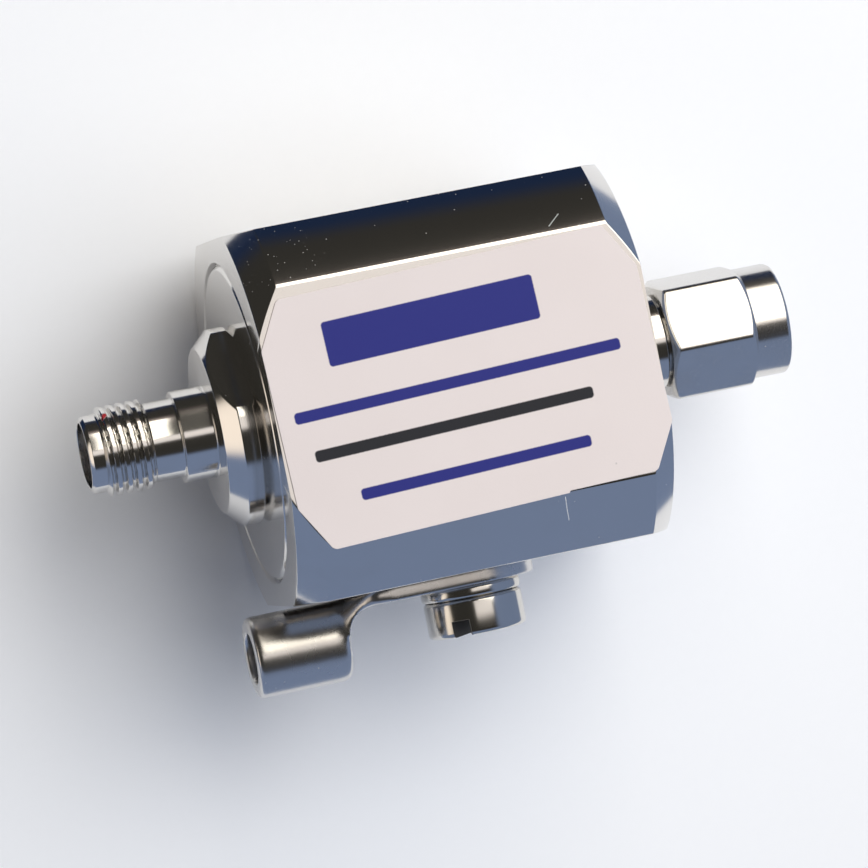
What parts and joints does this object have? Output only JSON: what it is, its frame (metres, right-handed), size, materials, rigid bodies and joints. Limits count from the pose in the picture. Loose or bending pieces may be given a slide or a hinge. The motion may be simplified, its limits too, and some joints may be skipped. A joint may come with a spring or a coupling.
{
  "type": "coaxial surge arrestor",
  "caption": "Inline coaxial surge arrestor: square plated housing with a threaded jack, a plug with a turning coupling nut, a gas tube inside and a screwed ground lug on one flat.",
  "frame": {"origin": "centre of the back flat of the square housing, which the part lies on", "axes": "+X along the coax line from the jack to the plug, +Z out of the label flat, ground screw along -Y"},
  "size_m": [0.0507, 0.0321, 0.0261],
  "materials": {
    "nickel_plate": "bright nickel plate on brass",
    "tin_plate": "bright tin plate on copper",
    "screw_plate": "bright plate on steel",
    "spring_metal": "plain spring metal",
    "gold_plate": "thin gold plate",
    "bare_brass": "turned brass",
    "insulator": "white fluoropolymer",
    "ceramic": "white fired ceramic",
    "gasket": "soft silicone rubber",
    "label_sheet": "satin white film"
  },
  "bodies": {
    "arrestor": {"housing": "nickel_plate", "end_cap": "nickel_plate", "jack_shell": "nickel_plate", "jack_insulator": "insulator", "jack_contact": "gold_plate", "centre_conductor": "gold_plate", "plug_shell": "nickel_plate", "plug_insulator": "insulator", "plug_pin": "gold_plate", "plug_gasket": "gasket", "snap_ring": "spring_metal", "gas_tube_ceramic": "ceramic", "gas_tube_line_cap": "spring_metal", "gas_tube_earth_cap": "spring_metal", "contact_spring": "spring_metal", "earth_saddle": "bare_brass", "label": "label_sheet"},
    "nut": {"coupling_nut": "nickel_plate"},
    "lug": {"ground_lug": "tin_plate"},
    "washer": {"spring_washer": "screw_plate"},
    "screw": {"ground_screw": "screw_plate"}
  },
  "joints": [
    {"name": "nut_spin", "type": "hinge", "parent": "arrestor", "child": "nut", "pos_m": [0.02, 0, 0.013], "axis": [1, 0, 0], "continuous": true},
    {"name": "lug_swivel", "type": "hinge", "parent": "arrestor", "child": "lug", "pos_m": [0, -0.0136, 0.013], "axis": [0, -1, 0], "continuous": true},
    {"name": "screw_travel", "type": "slide", "parent": "arrestor", "child": "washer", "axis": [0, -1, 0], "range_m": [0, 0.004]},
    {"name": "screw_turn", "type": "hinge", "parent": "washer", "child": "screw", "pos_m": [0, -0.015, 0.013], "axis": [0, -1, 0], "range_deg": [0, 2058]}
  ],
  "couplings": [
    {"joint": "screw_turn", "follows": "screw_travel", "rad_per_m": 8976}
  ]
}
